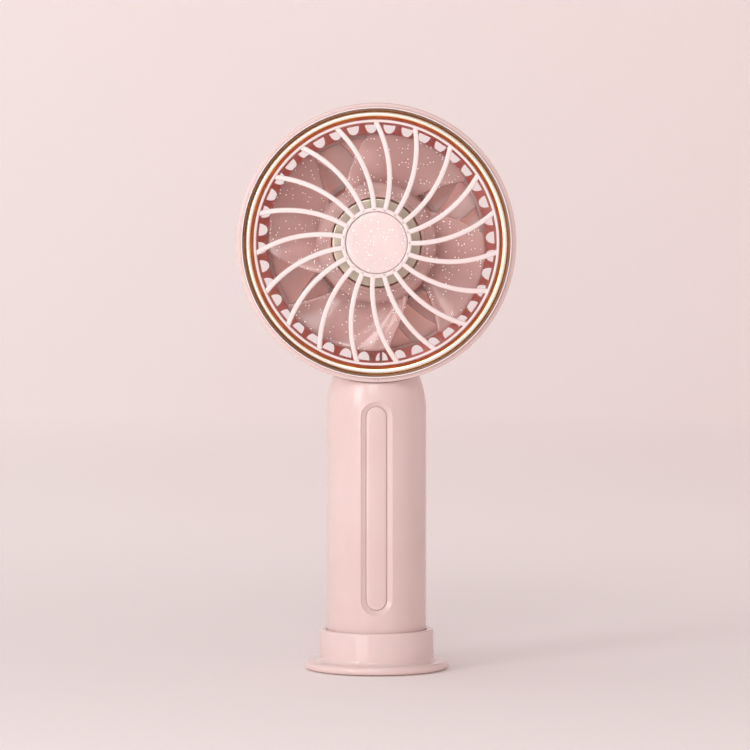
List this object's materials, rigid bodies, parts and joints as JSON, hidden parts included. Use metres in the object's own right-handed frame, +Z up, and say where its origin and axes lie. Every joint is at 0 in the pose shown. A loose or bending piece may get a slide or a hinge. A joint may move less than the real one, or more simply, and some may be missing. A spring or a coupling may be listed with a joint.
{
  "type": "handheld fan",
  "caption": "Handheld electric fan: round head with a curved-spoke grille, gold trim and translucent impeller, on a round handle that stands in a push-on base.",
  "frame": {"origin": "middle of the foot pad's underside, where the fan stands", "axes": "+Z up along the handle, -Y forward out of the front grille along the rotor's axis, +X to the right as seen from the front"},
  "size_m": [0.097, 0.0508, 0.1985],
  "materials": {
    "pink_shell": "satin moulded ABS, pale pink",
    "pale_shell": "satin moulded ABS, very pale pink",
    "glitter_cap": "pink plastic with fine white glitter",
    "gold_trim": "gold plated plastic, polished",
    "rose_translucent": "translucent rose plastic with glitter",
    "motor_can": "zinc plated deep-drawn steel",
    "steel": "bright steel",
    "magnet": "bonded ferrite",
    "brass": "turned brass",
    "laminations": "stacked electrical steel",
    "copper": "enamelled copper wire",
    "board": "green solder mask",
    "black_plastic": "black moulded plastic",
    "cell_sleeve": "blue shrink sleeve over a metal can",
    "clear": "clear moulded plastic",
    "silicone": "matt silicone rubber",
    "red_insulation": "red wire insulation",
    "black_insulation": "black wire insulation"
  },
  "bodies": {
    "fan_body": {"head_housing": "pink_shell", "rear_cover": "pink_shell", "handle_front_shell": "pink_shell", "handle_rear_shell": "pink_shell", "handle_inlay": "pink_shell", "handle_end_cap": "pink_shell", "bearing_front": "steel", "bearing_rear": "steel", "motor_screw_1": "steel", "motor_screw_2": "steel", "motor_screw_3": "steel", "end_cap_screw_1": "steel", "end_cap_screw_2": "steel", "battery_tab_plus": "steel", "battery_tab_minus": "steel", "usb_socket": "steel", "button_switch": "steel", "bearing_tube": "brass", "stator_core": "laminations", "stator_winding_1": "copper", "stator_winding_2": "copper", "stator_winding_3": "copper", "stator_winding_4": "copper", "stator_winding_5": "copper", "stator_winding_6": "copper", "motor_board": "board", "main_board": "board", "motor_mount": "black_plastic", "battery_tray": "black_plastic", "controller_chip": "black_plastic", "charge_inductor": "black_plastic", "battery_cell": "cell_sleeve", "status_led": "clear", "led_window": "clear", "battery_wire_red": "red_insulation", "motor_wire_red": "red_insulation", "battery_wire_black": "black_insulation", "motor_wire_black": "black_insulation"},
    "rotor": {"impeller": "rose_translucent", "rotor_can": "motor_can", "magnet_ring": "magnet", "motor_shaft": "steel", "shaft_clip": "steel"},
    "power_button": {"power_button": "pale_shell", "switch_plunger": "black_plastic"},
    "front_cover": {"front_bezel": "pale_shell", "gold_ring": "gold_trim", "front_grille": "pale_shell", "hub_cap": "glitter_cap"},
    "base": {"base_cup": "pink_shell", "base_grip_ring": "silicone", "foot_pad": "silicone"}
  },
  "joints": [
    {"name": "rotor_spin", "type": "hinge", "parent": "fan_body", "child": "rotor", "pos_m": [0, 0, 0.15], "axis": [0, 1, 0], "continuous": true},
    {"name": "power_button_press", "type": "slide", "parent": "fan_body", "child": "power_button", "axis": [0, -1, 0], "range_m": [0, 0.0005], "stiffness_N_per_m": 1500, "springref_m": -0.0003},
    {"name": "front_cover_pull", "type": "slide", "parent": "fan_body", "child": "front_cover", "axis": [0, -1, 0], "range_m": [0, 0.012]},
    {"name": "handle_lift", "type": "slide", "parent": "base", "child": "fan_body", "axis": [0, 0, 1], "range_m": [0, 0.02]}
  ]
}
